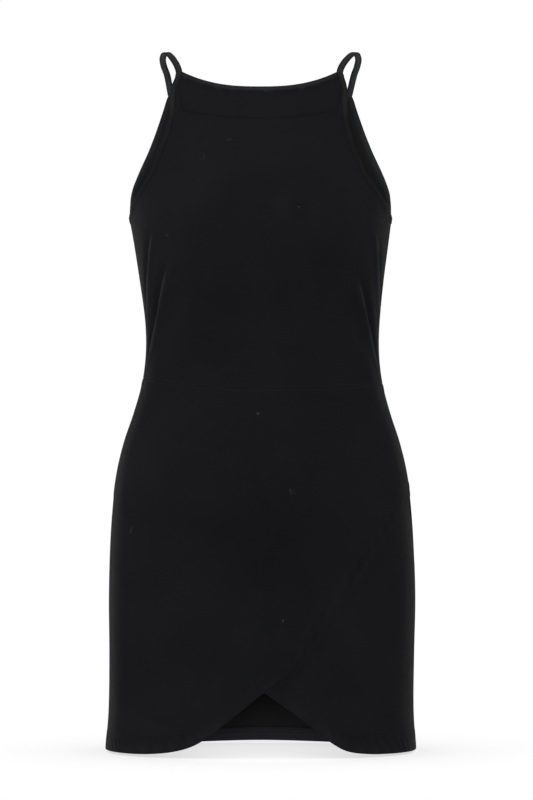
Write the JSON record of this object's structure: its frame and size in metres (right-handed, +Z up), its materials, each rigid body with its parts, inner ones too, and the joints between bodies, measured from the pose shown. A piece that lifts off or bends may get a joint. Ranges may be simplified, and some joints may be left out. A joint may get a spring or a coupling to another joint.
{
  "type": "fitted shift dress",
  "caption": "Sleeveless fitted mini dress with narrow shoulder straps, a bound high neckline, a waist seam and a skirt that wraps over at the front in a tulip hem.",
  "frame": {"origin": "midway between the undersides of the two straps, where they cross the wearer's shoulders", "axes": "+Z up along the wearer's body, -Y towards the front of the dress, +X towards the wearer's left"},
  "size_m": [0.3468, 0.2442, 0.7778],
  "materials": {
    "bodice_cloth": "matt near-black stretch jersey",
    "skirt_cloth": "matt near-black stretch jersey",
    "facing_cloth": "matt near-black stretch jersey, wrong side",
    "binding_cloth": "folded jersey binding, stitched"
  },
  "bodies": {
    "root": {"front_bodice": "bodice_cloth", "back_bodice": "bodice_cloth", "front_neck_facing": "facing_cloth", "front_skirt_overlay": "skirt_cloth", "front_skirt_underlay": "skirt_cloth", "back_skirt": "skirt_cloth", "front_neck_binding": "binding_cloth", "back_neck_binding": "binding_cloth", "left_strap_and_armhole_binding": "binding_cloth", "right_strap_and_armhole_binding": "binding_cloth"}
  },
  "joints": []
}
